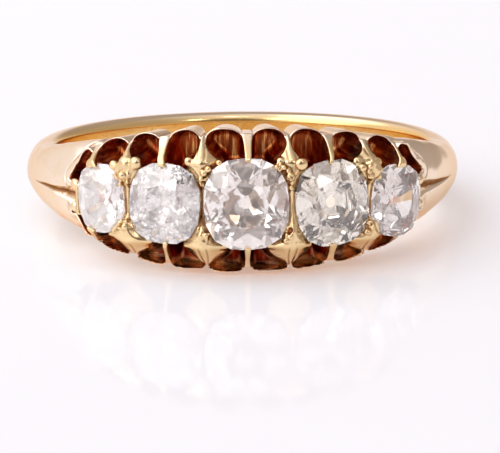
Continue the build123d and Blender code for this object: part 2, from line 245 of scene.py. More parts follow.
def swell(angle, end):
    """1 at the head, falling softly to 0 at an angle."""
    way = ramp(np.abs(angle), HOOP_START, end - HOOP_START)
    return (1 + np.cos(np.pi * way)) / 2


def arc(angle):
    """The length round the rim up to an angle."""
    return math.radians(angle) * RIM


# The grid round the ring, finer in angle at the head than at the back
VOXEL = 0.05
HEAD_GRID = 60.0
BACK_STEP = 2.4  # an angle step at the back, in steps at the head
GRID_HEIGHT, GRID_LEVEL = 3.25, 3.5
step = math.degrees(VOXEL / RIM)
head_angles = np.arange(-HEAD_GRID, HEAD_GRID + step / 2, step)
back_steps = int((360 - 2 * HEAD_GRID) / (step * BACK_STEP))
back_angles = np.linspace(head_angles[-1], 360 - HEAD_GRID, back_steps + 1)[1:-1]
angles = np.concatenate([head_angles, back_angles])
angles_signed = np.where(angles > 180, angles - 360, angles)
radii = np.arange(FINGER - 3 * VOXEL, FINGER + GRID_HEIGHT, VOXEL)
levels = np.arange(-GRID_LEVEL, GRID_LEVEL + VOXEL / 2, VOXEL)

# Angle, arc and level for maps of angle by level, then angle, height and level for the whole grid
A = angles_signed[:, None].astype(np.float32)
S = np.radians(A) * RIM
Z = levels[None, :].astype(np.float32)
A3 = A[:, :, None]
H3 = (radii - FINGER)[None, :, None].astype(np.float32)
Z3 = levels[None, None, :].astype(np.float32)
PHI3 = np.radians(angles)[:, None, None]
R3 = radii[None, :, None]
in_head = (A > -HEAD_REACH) & (A < RIGHT_REACH)


def outline_distance(points, s, z):
    """Signed distance from each place to a closed outline, negative inside."""
    best = np.full(np.broadcast(s, z).shape, 1e9, np.float32)
    inside = np.zeros(best.shape, bool)
    for (x0, y0), (x1, y1) in zip(points, np.roll(points, -1, axis=0)):
        ex, ey = x1 - x0, y1 - y0
        t = np.clip(((s - x0) * ex + (z - y0) * ey) / max(ex * ex + ey * ey, 1e-12), 0, 1)
        best = np.minimum(best, np.hypot(s - x0 - t * ex, z - y0 - t * ey))
        if abs(y1 - y0) > 1e-9:
            inside ^= ((y0 <= z) != (y1 <= z)) & (s < (x1 - x0) * (z - y0) / (y1 - y0) + x0)
    return np.where(inside, -best, best)


def closed_curve(points, cuts=7):
    """A smooth closed curve through control points."""
    p = np.array(points, float)
    before, after, beyond = np.roll(p, 1, axis=0), np.roll(p, -1, axis=0), np.roll(p, -2, axis=0)
    t = (np.arange(cuts) / cuts)[None, :, None]
    b, q, c, d = before[:, None], p[:, None], after[:, None], beyond[:, None]
    curve = q + 0.5 * t * (c - b + t * (2 * b - 5 * q + 4 * c - d + t * (3 * (q - c) + d - b)))
    return curve.reshape(-1, 2)


def stone_edge(angle, row):
    """How far the stones reach from the middle line at an angle: up for row 1, down for row -1."""
    best = 0.0
    for stone in STONES:
        offset = (FINGER + stone.seat) * math.sin(math.radians(angle - stone.angle)) / stone.half_width
        half = stone.half_length * (1 - min(abs(offset), 1) ** SQUARENESS) ** (1 / SQUARENESS)
        if half > 0:
            best = max(best, half + row * stone.level)
    return best


def fan(angle, v, row):
    """The angle at v, which is 1 at the rim and 0 at the stones, of a line that starts from the rim."""
    ribs, gaps = (UPPER_RIBS, UPPER_GAPS) if row > 0 else (LOWER_RIBS, LOWER_GAPS)
    shifts = {rib: math.degrees(math.asin(RIM / GIRDLE * math.sin(math.radians(rib)))) - rib for rib in ribs}
    shifts.update({gap: between - gap for gap, between in zip(gaps, BETWEEN)})
    anchors = sorted(shifts)
    return angle + np.interp(angle, anchors, [shifts[a] for a in anchors]) * (1 - v)


def scallop(first, last, rib_side, row):
    """The closed outline of a scallop's opening."""
    near, far = (first, last) if rib_side < 0 else (last, first)
    edge = stone_edge(fan(near, 0, row), row) - UNDER_STONE
    points = []
    for t, v in UPPER_SHAPE if row > 0 else LOWER_SHAPE:
        angle = near + t * (far - near)
        lip = rim_half(angle, LIP if row > 0 else LOWER_LIP)
        points.append((arc(fan(angle, v, row)), row * (edge + v * (lip - edge))))
    return closed_curve(points)


def crescent(rib, side, row):
    """The opening of the scallop that wraps round the outer end of an end stone."""
    stone = STONES[0 if side < 0 else -1]
    near = abs(rib) + CRESCENT_START
    beyond = near + 0.9
    inner = stone.half_length + row * stone.level
    bend = abs(stone.angle) + math.degrees(stone.half_width / RIM)
    low = CRESCENT_ENDS[side, row]
    edge = LIP if row > 0 else LOWER_LIP
    # up the rib's side, round the outside to the tip, and back under the stone
    points = [(near - CRESCENT_LEAN * 1.2, inner * 0.6), (near - CRESCENT_LEAN * 0.8, inner * 0.95),
              (near - 0.2, rim_half(side * near, edge) - 0.12), (beyond, rim_half(side * beyond, edge))]
    if row > 0:
        tip = CRESCENT_EDGES[side][-1][0] + UPPER_TIP
        points += CRESCENT_EDGES[side]
    else:
        tip = (HEAD_REACH if side < 0 else RIGHT_REACH) - LOWER_TIP
        for share in LOWER_EDGE_SHARES:
            angle = near + share * (tip - near)
            points.append((angle, rim_half(side * angle, edge) - 0.02))
    points += [(tip, low + 0.2), (tip - 0.7, low), (bend - 0.4, low)]
    return closed_curve([(arc(side * angle), row * z) for angle, z in points])


def scallop_map():
    """The distance from every opening's outline, negative inside an opening."""
    outlines = [scallop(*opening, 1) for opening in UPPER]
    outlines += [scallop(*opening, -1) for opening in LOWER]
    outlines += [crescent(UPPER_RIBS[0], -1, 1), crescent(UPPER_RIBS[-1], 1, 1)]
    outlines += [crescent(LOWER_RIBS[0], -1, -1), crescent(LOWER_RIBS[-1], 1, -1)]
    head_arcs = S[:len(head_angles), 0]
    margin = 0.9
    found = np.full(S.shape[:1] + Z.shape[1:], FAR, np.float32)
    for outline in outlines:
        low, high = outline.min(0) - margin, outline.max(0) + margin
        rows = slice(*np.searchsorted(head_arcs, [low[0], high[0]]))
        columns = slice(*np.searchsorted(levels, [low[1], high[1]]))
        here = outline_distance(outline, S[rows], Z[:, columns])
        found[rows, columns] = np.minimum(found[rows, columns], here)
    return found


def cushion_distance(u, v, half_width, half_length):
    """About the distance from a stone's outline, negative inside."""
    p, q = np.abs(u / half_width), np.abs(v / half_length)
    reach = np.maximum(p ** SQUARENESS + q ** SQUARENESS, 1e-9) ** (1 / SQUARENESS)
    slope_u = (p / reach) ** (SQUARENESS - 1) / half_width
    slope_v = (q / reach) ** (SQUARENESS - 1) / half_length
    return (reach - 1) / np.hypot(slope_u, slope_v)


def stone_map():
    """The distance from the nearest stone's outline."""
    found = np.full_like(scallops, FAR)
    for stone in STONES:
        along = (FINGER + stone.seat) * np.sin(np.radians(A - stone.angle))
        across = Z - stone.level
        c, s = math.cos(math.radians(stone.turn)), math.sin(math.radians(stone.turn))
        u, v = along * c + across * s, across * c - along * s
        off = cushion_distance(u, v, stone.half_width, stone.half_length)
        found = np.minimum(found, np.where(np.abs(A - stone.angle) < STONE_SPAN, off, FAR))
    return found


def carving_maps():
    """How deep the wings between the stones are carved, and how far the ribs stand up toward the stones."""
    carve = np.zeros_like(scallops)
    rib_height = np.zeros_like(scallops)
    for row, gaps, ribs in ((1, UPPER_GAPS, UPPER_RIBS), (-1, LOWER_GAPS, LOWER_RIBS)):
        way = ramp(Z * row, CARVE_START, CARVE_LENGTH)  # 0 by the stones, 1 at the rim
        off_gap = np.min([np.abs(S - np.radians(fan(g, way, row)) * RIM) for g in gaps], axis=0)
        off_rib = np.min([np.abs(S - np.radians(fan(g, way, row)) * RIM) for g in ribs], axis=0)
        leaf = LEAF_HALF + LEAF_SWELL * np.sqrt(np.clip(4 * way * (1 - way), 0, 1)) * (1.3 - 0.6 * way)
        wing = (WING_SLOPE if row > 0 else LOWER_WING_SLOPE) * np.maximum(off_gap - leaf, 0)
        leaf_line = np.exp(-(((off_gap - leaf) / LEAF_LINE_WIDTH) ** 2))
        groove = LEAF_LINE_DEPTH * ramp(way, 0, 0.25) * leaf_line * (way > 0) * (way < 1)
        rib_side = RIB_SLOPE * np.maximum(off_rib - RIB_HALF, 0)
        cut = np.minimum(np.minimum(wing, rib_side), CARVE_DEPTH) + groove
        faded = cut * ramp(Z * row, CARVE_FADE_START, CARVE_FADE_LENGTH)
        raised = RIB_RAISE * ramp(off_rib, RIB_RAISE_HALF, -RIB_RAISE_EDGE)
        carve = np.where(Z * row > 0, faded, carve)
        rib_height = np.where(Z * row > 0, raised, rib_height)
    return carve * in_head, rib_height


scallops = scallop_map()
off_stone = stone_map()
carve, rib_height = carving_maps()


def hoop_field():
    """A band with flat sides and a rounded outside, narrower and thinner at the back."""
    half = BACK_WIDTH / 2 + (SHOULDER_WIDTH - BACK_WIDTH) / 2 * swell(A3, NARROW_ANGLE)
    half = half + (BACK_RAISE * (Z3 > 0) - BACK_TRIM * (Z3 < 0)) * (1 - swell(A3, RAISE_ANGLE))
    thick = BACK_THICKNESS + (SHOULDER_THICKNESS - BACK_THICKNESS) * swell(A3, BACK_ANGLE)
    wall = thick * (SIDE_SHARE + BACK_SIDE_SHARE * (1 - swell(A3, BACK_ANGLE)))
    rise = thick - wall
    bulge = (half * half + rise * rise) / (2 * rise)  # radius of the rounded outside
    curve = np.hypot(np.maximum(H3 - thick + bulge, 0), Z3) - bulge
    return smooth_max(np.abs(Z3) - half, curve, HOOP_ROUNDING)


def head_field():
    """The boat-shaped head with its carving, and the lobes of gold round the scallops."""
    notches = [(a, RIB_NOTCH if abs(a) < END_RIBS else END_RIB_NOTCH) for a in UPPER_RIBS]
    notches += [(a, GAP_NOTCH) for a in UPPER_GAPS]
    rim = rim_half(A3) - np.interp(A3, *np.array(sorted(notches)).T)
    rim = np.maximum(rim, -0.3)  # past the head's ends
    rim_top = RIM_HEIGHT - eased(np.abs(A3), SINK_START, SINK_LENGTH, SINK)
    lean_in = LEAN_IN * np.maximum(RIM_HEIGHT - H3, 0) / RIM_HEIGHT
    side = np.abs(Z3) - rim + lean_in
    top = top_height(A3)
    rise, run = top - rim_top, np.maximum(rim - top_half(A3), 0.05)
    slope = ((np.abs(Z3) - rim) * rise + (H3 - rim_top) * run) / np.hypot(rise, run)

    bevel = STONE_SIDE_HEIGHT + STONE_SIDE_SLOPE * np.maximum(off_stone, 0) + rib_height
    for between, dip in zip(BETWEEN, SEPTUM_DIPS):
        septum = np.exp(-(((S - arc(between)) / SEPTUM_WIDTH) ** 4))
        bevel = bevel - dip * septum * ramp(np.abs(Z), SEPTUM_HALF, -SEPTUM_EDGE)
    end_start = np.where(A > 0, END_STARTS[1], END_STARTS[0])
    bevel = np.minimum(bevel, END_HEIGHT - eased(np.abs(A), end_start, END_LENGTH, END_FALL))

    boat = smooth_max(np.maximum(side, slope), H3 - np.minimum(top, bevel[:, None, :]), TOP_ROUNDING)
    boat = np.where(in_head[:, :, None], boat + carve[:, None, :], FAR)
    lip = np.where(Z3 > 0, LIP, LOWER_LIP)
    lobes = smooth_max(scallops[:, None, :] - lip + lean_in, H3 - rim_top - LOBE_HEIGHT, LOBE_ROUNDING)
    return smooth_min(boat, lobes, LOBE_BLEND)


def shoulder_groove():
    """The carved groove along each shoulder, negative inside it."""
    way = np.clip((GROOVE_END - np.abs(A3)) / GROOVE_LENGTH, 0, GROOVE_MOST)
    (left, left_turn), (right, right_turn) = GROOVE_TILTS
    tilt = np.where(A3 > 0, right + right_turn * way, left + left_turn * way)
    below_top = (SHOULDER_THICKNESS - H3 + np.abs(Z3 + tilt) * GROOVE_SLOPE) / GROOVE_STEEPNESS
    groove = below_top - GROOVE_DEPTH * way ** GROOVE_CURVE
    groove = groove + GROOVE_FADE * ramp(np.abs(A3), GROOVE_FADE_START, -GROOVE_FADE_LENGTH)
    return np.where((np.abs(A3) < GROOVE_END) & (np.abs(A3) > GROOVE_START), groove, FAR)


def collared(body):
    """The body with the collar and fine line round each end's upper scallop."""
    near_end = ramp(np.abs(A), COLLAR_START, COLLAR_GROWTH) * ramp(Z, COLLAR_LEVEL, COLLAR_LEVEL_GROWTH)
    raised = body - COLLAR_HEIGHT * near_end[:, None, :]
    collar = smooth_max(raised, (scallops - COLLAR_WIDTH)[:, None, :], COLLAR_ROUNDING)
    body = np.minimum(body, collar)
    line = np.exp(-(((scallops - LINE_PLACE) / LINE_WIDTH) ** 2)) * near_end * LINE_DEPTH
    return body + line[:, None, :] * (H3 > LINE_FOOT)


def mount_field():
    """The mount with its pockets, and the same before the pockets are cut."""
    blend = HOOP_BLEND + END_BLEND * ramp(np.abs(A3), END_BLEND_START, END_BLEND_LENGTH)
    body = smooth_min(head_field(), hoop_field(), blend)
    body = collared(smooth_max(body, -shoulder_groove(), GROOVE_ROUNDING))
    bore_rounding = BORE_ROUNDING + BACK_BORE_ROUNDING * (1 - swell(A3, RAISE_ANGLE))
    body = smooth_max(body, -H3, bore_rounding)
    flare = FLARE * ramp(H3 - RIM_HEIGHT, -FLARE_DEPTH, FLARE_DEPTH)
    pocket = scallops[:, None, :] + POCKET_TAPER * np.maximum(RIM_HEIGHT - H3, 0) - flare
    pocket = smooth_max(pocket, FLOOR - H3, FLOOR_ROUNDING)
    return smooth_max(body, -pocket, POCKET_ROUNDING), body


def wobble(s, z, h):
    """Waves along, across and outward, from -1.6 to 1.6; the numbers are radians to the millimetre."""
    return (np.sin(2.3 * s + 1.1 * z + 0.7) * np.sin(1.9 * z - 1.3 * h + 0.4)
            + 0.6 * np.sin(4.1 * s - 2.7 * h + 2.0) * np.sin(3.7 * z + 1.7))


field, solid = (f.astype(np.float32) for f in mount_field())
field += WOBBLE * wobble(S[:, :, None], Z3, H3).astype(np.float32) * (np.abs(A3) < WOBBLE_END)


BEAD_MARGIN, SEAT_MARGIN, SEAT_RADIUS = 0.25, 0.5, 10.5  # for the block of the grid that each changes


def block(angle, radius, level, half_width, half_height, margin):
    """The part of the grid round a place of the head: its slices, and the x, y and z of its points."""
    spread = math.degrees((half_width + margin) / radius)
    rows = slice(*np.searchsorted(head_angles, [angle - spread, angle + spread]))
    columns = slice(*np.searchsorted(levels, [level - half_height - margin, level + half_height + margin]))
    x = R3 * np.sin(PHI3[rows])
    y = -R3 * np.cos(PHI3[rows])
    return (rows, slice(None), columns), x, y, levels[columns][None, None, :]


def seen_from(angle, x, y):
    """How far points lie out in the direction of an angle, and how far sideways."""
    a = math.radians(angle)
    return x * math.sin(a) - y * math.cos(a), x * math.cos(a) + y * math.sin(a)


def add_bead(angle, radius, level, size, blend, flat=1.0):
    """A ball of metal on a post; flat below 1 squashes it outward."""
    where, x, y, z = block(angle, radius, level, size, size, BEAD_MARGIN)
    out, off = seen_from(angle, x, y)
    out = out - radius
    out = np.maximum(out, 0) / flat + np.maximum(-out - POST, 0)
    ball = np.sqrt(off ** 2 + (z - level) ** 2 + out ** 2) - size
    field[where] = smooth_min(field[where], ball.astype(np.float32), blend)


def cut_pit(angle, radius, level, size):
    where, x, y, z = block(angle, radius, level, size, size, BEAD_MARGIN)
    a = math.radians(angle)
    off_x, off_y = x - radius * math.sin(a), y + radius * math.cos(a)
    ball = np.sqrt(off_x ** 2 + off_y ** 2 + (z - level) ** 2) - size
    field[where] = smooth_max(field[where], -ball.astype(np.float32), CUT_ROUNDING)


for angle, level, size, flat, pit in GRAINS:
    radius = FINGER + float(top_height(angle)) - GRAIN_SINK
    add_bead(angle, radius, level, size * GRAIN_GROWTH, GRAIN_BLEND, flat)
    if pit:
        cut_pit(angle, radius + size + GRAIN_PIT_HEIGHT, level, size * GRAIN_PIT_SHARE)
for angle, height, level, size, flat in CLAWS:
    add_bead(angle, FINGER + height, level, size, CLAW_BLEND, flat)
random = np.random.default_rng(11)
for angle, level in CRUMBS:
    for _ in range(CRUMB_COUNT):
        turned, raised, size = random.uniform(CRUMB_LEAST, CRUMB_MOST)
        radius = FINGER + float(top_height(angle)) - CRUMB_SINK
        add_bead(angle + turned, radius, level + raised, size, CRUMB_BLEND)
for pit in PITS:
    cut_pit(*pit)


def to_ring(points):
    """From the shared frame in metres to the ring's own frame in millimetres."""
    p = np.asarray(points, float) / MM - RING_CENTRE
    c, s = math.cos(LEAN), math.sin(LEAN)
    return np.stack([p[:, 0], p[:, 1] * c - p[:, 2] * s, p[:, 1] * s + p[:, 2] * c], axis=1)


def leaned(vectors):
    """Directions of the ring's own frame, turned to the shared frame."""
    x, y, z = vectors.T
    c, s = math.cos(LEAN), math.sin(LEAN)
    return np.stack([x, y * c + z * s, -y * s + z * c], axis=1)


def stone_planes(name):
    """The facets of a packed stone, as outward normals and distances, in the ring's own frame."""
    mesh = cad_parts[name].data
    co = np.zeros(len(mesh.vertices) * 3)
    mesh.vertices.foreach_get("co", co)
    co = to_ring(co.reshape(-1, 3))
    middle = co.mean(0)
    found = {}
    for polygon in mesh.polygons:
        a, b, c = (co[i] for i in polygon.vertices[:3])
        normal = np.cross(b - a, c - a)
        size = np.linalg.norm(normal)
        if size < 1e-5:  # a sliver has no direction
            continue
        normal = normal / size
        if normal @ (a - middle) < 0:
            normal = -normal
        found.setdefault(tuple(np.round(normal, 2)), (normal, float(normal @ a)))
    return list(found.values())


def cut_seat(stone):
    """Room for a stone with its clearance, the way out above it between the claws, and the hole below it."""
    half_width, half_length = stone.half_width, stone.half_length
    where, x, y, z = block(stone.angle, SEAT_RADIUS, stone.level, half_width, half_length, SEAT_MARGIN)
    here = field[where]
    room = np.full(here.shape, -FAR, np.float32)
    for (nx, ny, nz), distance in stone_planes(stone.name):
        room = np.maximum(room, (x * nx + y * ny + z * nz - distance - CLEARANCE).astype(np.float32))
    out, along = seen_from(stone.angle, x, y)
    out = out - FINGER - stone.seat
    t = math.radians(stone.turn)
    u = along * math.cos(t) + (z - stone.level) * math.sin(t)
    v = -along * math.sin(t) + (z - stone.level) * math.cos(t)
    between_claws = np.maximum(np.abs(u) - half_width - CLEARANCE, np.abs(v) - OPEN_SIDE * half_length)
    within_claws = cushion_distance(u, v, half_width - CLAW, half_length - CLAW)
    way_out = np.maximum(np.minimum(within_claws, between_claws), -out)
    hole = np.maximum(cushion_distance(u, v, half_width * HOLE, half_length * HOLE), out)
    cut = np.minimum(np.minimum(room, way_out), hole)
    field[where] = smooth_max(here, -cut.astype(np.float32), CUT_ROUNDING)


for stone in STONES:
    cut_seat(stone)

# For each axis of the grid, the four cells round an edge that runs along it
CELLS_ROUND_EDGE = [[(0, -1, -1), (0, 0, -1), (0, 0, 0), (0, -1, 0)],
                    [(-1, 0, -1), (-1, 0, 0), (0, 0, 0), (0, 0, -1)],
                    [(-1, -1, 0), (0, -1, 0), (0, 0, 0), (-1, 0, 0)]]


def surface(f):
    """A net of quads on the field's zero level: corners in grid steps, and the quads."""
    nu, nr, nz = f.shape
    inside = f < 0
    wrapped = np.concatenate([inside, inside[:1]])
    mixed = np.zeros((nu, nr - 1, nz - 1), bool)
    first = wrapped[:-1, :-1, :-1]
    for du, dr, dz in np.ndindex(2, 2, 2):
        mixed |= wrapped[du:nu + du, dr:nr - 1 + dr, dz:nz - 1 + dz] != first
    cells = np.argwhere(mixed)
    number = np.full(mixed.shape, -1, np.int32)
    number[mixed] = np.arange(len(cells))
    value = {}
    for du, dr, dz in np.ndindex(2, 2, 2):
        value[du, dr, dz] = f[(cells[:, 0] + du) % nu, cells[:, 1] + dr, cells[:, 2] + dz]

    # a cell's corner of the net is the mean of the crossings on the cell's edges
    total = np.zeros((len(cells), 3))
    count = np.zeros(len(cells))
    for axis in range(3):
        for others in np.ndindex(2, 2):
            low = list(others)
            low.insert(axis, 0)
            high = list(low)
            high[axis] = 1
            a, b = value[tuple(low)], value[tuple(high)]
            hit = (a < 0) != (b < 0)
            crossing = np.array(low, float)[None] + np.zeros((len(cells), 1))
            crossing[:, axis] += np.where(hit, a / np.where(hit, a - b, 1), 0)
            total += crossing * hit[:, None]
            count += hit

    quads = []
    for axis, around in enumerate(CELLS_ROUND_EDGE):
        change = inside != np.roll(inside, -1, axis=axis)
        change[:, [0, -1]] = False
        change[:, :, [0, -1]] = False
        i, j, k = np.argwhere(change).T
        quad = np.stack([number[(i + di) % nu, j + dj, k + dk] for di, dj, dk in around], axis=1)
        flip = inside[i, j, k]
        quad[flip] = quad[flip][:, ::-1]
        quads.append(quad)
    return cells + total / count[:, None], np.concatenate(quads)


def largest_piece(corners, quads):
    """The largest part of the net that hangs together by its edges, without crumbs that touch nothing."""
    quads = quads.astype(np.int64)
    sides = np.sort(np.stack([quads, np.roll(quads, -1, axis=1)], axis=2), axis=2)
    keys = sides[:, :, 0] * len(corners) + sides[:, :, 1]
    _, edge, count = np.unique(keys, return_inverse=True, return_counts=True)
    edge = edge.reshape(-1, 4)
    joined = (count == 2)[edge]
    label = np.arange(len(quads))
    while True:
        lowest = np.full(len(count), len(quads))
        np.minimum.at(lowest, edge.ravel(), np.repeat(label, 4))
        near = np.where(joined, lowest[edge], len(quads)).min(axis=1)
        merged = label.copy()
        np.minimum.at(merged, label, near)
        merged = merged[merged]
        if np.array_equal(merged, label):
            break
        label = merged
    quads = quads[label == np.bincount(label).argmax()]
    used, numbered = np.unique(quads, return_inverse=True)
    return corners[used], numbered.reshape(-1, 4)


knots = np.arange(len(angles) + 1)
knot_angles = np.append(angles, angles[0] + 360)


def place(corners):
    """From grid steps to the ring's own frame."""
    a = np.radians(np.interp(corners[:, 0] % len(angles), knots, knot_angles))
    radius = radii[0] + corners[:, 1] * VOXEL
    return np.stack([radius * np.sin(a), -radius * np.cos(a), levels[0] + corners[:, 2] * VOXEL], axis=1)


def unplace(points):
    """From the ring's own frame to grid steps."""
    angle = np.degrees(np.arctan2(points[:, 0], -points[:, 1]))
    angle = np.where(angle < knot_angles[0], angle + 360, angle)
    radius = np.hypot(points[:, 0], points[:, 1])
    turns = np.interp(angle, knot_angles, knots)
    return np.stack([turns, (radius - radii[0]) / VOXEL, (points[:, 2] - levels[0]) / VOXEL], axis=1)


def sample(f, points):
    """A field's values at points of the ring's own frame, evened out between the grid's."""
    u, r, z = unplace(points).T
    nu, nr, nz = f.shape
    r = np.clip(r, 0, nr - 1.001)
    z = np.clip(z, 0, nz - 1.001)
    i, j, k = np.floor(u).astype(int), r.astype(int), z.astype(int)
    a, b, c = u - i, r - j, z - k
    i0, i1 = i % nu, (i + 1) % nu

    def at_level(k):
        near = f[i0, j, k] * (1 - a) + f[i1, j, k] * a
        far = f[i0, j + 1, k] * (1 - a) + f[i1, j + 1, k] * a
        return near * (1 - b) + far * b

    return at_level(k) * (1 - c) + at_level(k + 1) * c


def gradient(f, points, reach=0.5):
    """A field's slope at points of the ring's own frame, in field units per millimetre."""
    grad = np.zeros_like(points)
    for axis in range(3):
        offset = np.zeros(3)
        offset[axis] = reach * VOXEL
        grad[:, axis] = (sample(f, points + offset) - sample(f, points - offset)) / (2 * reach * VOXEL)
    return grad


def settle(f, points, rounds):
    """Points moved onto the field's zero level, by half a voxel at most in each round."""
    for _ in range(rounds):
        grad = gradient(f, points)
        step = sample(f, points) / np.maximum((grad * grad).sum(1), 0.05)
        points = points - grad * np.clip(step, -0.5 * VOXEL, 0.5 * VOXEL)[:, None]
    return points


def net_object(name, points, quads):
    mesh = bpy.data.meshes.new(name)
    mesh.vertices.add(len(points))
    mesh.vertices.foreach_set("co", points.astype(np.float32).ravel())
    mesh.loops.add(quads.size)
    mesh.loops.foreach_set("vertex_index", quads.astype(np.int32).ravel())
    mesh.polygons.add(len(quads))
    mesh.polygons.foreach_set("loop_start", np.arange(0, quads.size, 4, dtype=np.int32))
    mesh.update(calc_edges=True)
    mesh.validate()
    made = bpy.data.objects.new(name, mesh)
    scene.collection.objects.link(made)
    return made


corners, quads = largest_piece(*surface(field))
mount = net_object("gold_mount", settle(field, place(corners), 2), quads)
if 2 * len(quads) > TRIANGLES:
    thin = mount.modifiers.new("thin", "DECIMATE")
    thin.ratio = TRIANGLES / (2 * len(quads))
    graph = bpy.context.evaluated_depsgraph_get()
    thinned = bpy.data.meshes.new_from_object(mount.evaluated_get(graph))
    mount.modifiers.clear()
    mount.data = thinned
mesh = mount.data
co = np.zeros(len(mesh.vertices) * 3, np.float32)
mesh.vertices.foreach_get("co", co)
points = settle(field, co.reshape(-1, 3).astype(float), 1)
normals = gradient(field, points, 0.8)
normals /= np.maximum(np.linalg.norm(normals, axis=1), 1e-9)[:, None]


def store(name, values):
    """Keep values at the mount's corners for the materials."""
    kind = "FLOAT" if values.ndim == 1 else "FLOAT_VECTOR"
    attribute = mesh.attributes.new(name, kind, "POINT")
    attribute.data.foreach_set("value" if values.ndim == 1 else "vector", values.astype(np.float32).ravel())


store("hollow", ramp(-sample(solid, points), HOLLOW_START, HOLLOW_LENGTH))
turned = np.arctan2(points[:, 0], -points[:, 1])
store("brink", np.clip(1 - (rim_half(np.degrees(turned)) - np.abs(points[:, 2])) / BRINK, 0, 1))
# How sharply the surface folds in; the gold paints shade into its creases by this
reach = CREASE_REACH * VOXEL
bend = -6 * sample(field, points)
for axis in range(3):
    offset = np.zeros(3)
    offset[axis] = reach
    bend += sample(field, points + offset) + sample(field, points - offset)
store("crease", np.clip(-bend / reach * CREASE_STRENGTH, 0, 1))
height = np.hypot(points[:, 0], points[:, 1]) - FINGER
store("place", np.stack([turned * RIM, points[:, 2], height], axis=1))  # round the ring, along it, outward

mesh.vertices.foreach_set("co", ((leaned(points) + RING_CENTRE) * MM).astype(np.float32).ravel())
mesh.polygons.foreach_set("use_smooth", np.ones(len(mesh.polygons), bool))
mesh.update()
mesh.normals_split_custom_set_from_vertices(leaned(normals).tolist())
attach(mount, "root")
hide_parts("ring_mount")


class Nodes:
    """Short calls for building a node tree. A value is a number, a colour or vector, or a node's output."""

    def __init__(self, tree):
        self.tree = tree

    def fill(self, node, inputs):
        for key, value in inputs.items():
            socket = node.inputs[key]
            if isinstance(value, (int, float)):
                socket.default_value = value
            elif isinstance(value, tuple):
                socket.default_value = (*value, 1)[:len(socket.default_value)]
            else:
                self.tree.links.new(value, socket)

    def add(self, kind, inputs, output=0, **settings):
        """One output of a new node, with values for the node's inputs."""
        node = self.tree.nodes.new(kind)
        for key, value in settings.items():
            setattr(node, key, value)
        self.fill(node, inputs)
        return node.outputs[output]

    def attribute(self, name, output="Fac"):
        return self.add("ShaderNodeAttribute", {}, output, attribute_name=name)

    def noise(self, vector, scale, stretch=(1, 1, 1), detail=3.0):
        stretched = self.add("ShaderNodeMapping", {"Vector": vector, "Scale": stretch})
        return self.add("ShaderNodeTexNoise", {"Vector": stretched, "Scale": scale, "Detail": detail})

    def ramp(self, value, stops):
        """Colours at positions, blended between them."""
        colour = self.add("ShaderNodeValToRGB", {"Fac": value})
        elements = colour.node.color_ramp.elements
        while len(elements) < len(stops):
            elements.new(0.5)
        for element, (position, stop) in zip(elements, stops):
            element.position = position
            element.color = (*stop, 1)
        return colour

    def fade(self, value, start, end, **settings):
        """0 where the value is at the start, 1 where it is at the end."""
        inputs = {"Value": value, "From Min": start, "From Max": end}
        return self.add("ShaderNodeMapRange", inputs, **settings)

    def mix(self, share, first, second, blend="MIX"):
        inputs = {0: share, 6: first, 7: second}
        return self.add("ShaderNodeMix", inputs, 2, data_type="RGBA", blend_type=blend)

    def math(self, operation, *values, clamp=False):
        return self.add("ShaderNodeMath", dict(enumerate(values)), operation=operation, use_clamp=clamp)


def material(name):
    made = bpy.data.materials.new(name)
    made.use_nodes = True
    return made, Nodes(made.node_tree), made.node_tree.nodes["Principled BSDF"]


def wear(thing, made):
    thing.data.materials.clear()
    thing.data.materials.append(made)


# Scales count for millimetres, heights are over the finger
BLACK, WHITE = (0, 0, 0), (1, 1, 1)
GOLD_CLOUDS, CLOUD_SCALE = ((0.94, 0.80, 0.65), (0.94, 0.77, 0.58)), 1.3
# Painted reflection: inside the hoop the gold is deepened as if gold reflected gold
GOLD_INSIDE_PAINTED_BOUNCE, INSIDE_HEIGHTS = (0.88, 0.61, 0.25), (0.25, 0.02)
# Painted reflection: the raised carving takes a deeper, yellower gold, as if light bounced between its parts
GOLD_RAISED_PAINTED_BOUNCE, RAISED_HEIGHTS = (0.88, 0.66, 0.37), (1.7, 2.3)
# Painted shade: the gold is darkened in its creases, where shade falls
PAINTED_CREASE_SHADE, PAINTED_CREASE_SHADE_STRENGTH = (0.34, 0.15, 0.055), 1.3
# Tarnish in the pockets with painted shade: the dark stops also paint the little light that reaches them
TARNISH_AND_PAINTED_SHADE = [(0.36, (0.22, 0.035, 0.010)), (0.52, (0.38, 0.085, 0.022)),
           (0.60, (0.75, 0.32, 0.10)), (0.70, (1.0, 0.68, 0.36))]
TARNISH_AND_SHADE_STRETCH = (7.0, 0.9, 0.9)  # streaks that run along the axis and outward
LOWER_PAINTED_SHADE, LOWER_LEVELS = (0.33, 0.09, 0.075), (-1.2, -1.8)  # painted shade of the lower pockets, which face away from the light: a factor for the colour above
# Painted glints: orange reflections painted at the brink of the lower pockets
PAINTED_GLINT, PAINTED_GLINT_SCALE = (1.0, 0.50, 0.20), 1.6
# Painted glow: the glints emit light, though nothing there is a lamp
PAINTED_GLINT_GLOW, PAINTED_GLINT_GLOW_STRENGTH = (1.0, 0.36, 0.10), 0.30
SCRATCH_SCALE, ROUGHNESS, SCRATCH_ROUGHNESS, HOLLOW_ROUGHNESS = 9.0, 0.10, 0.12, 0.16
BUMP_SCALE, BUMP_STRENGTH, BUMP_DISTANCE = 3.2, 0.12, 0.00004
EDGE_TINTS = ((0.90, 0.76, 0.62), (0.50, 0.20, 0.11))  # of reflections at a grazing angle: gold, pockets; the pockets' dark tint goes with their tarnish and painted shade
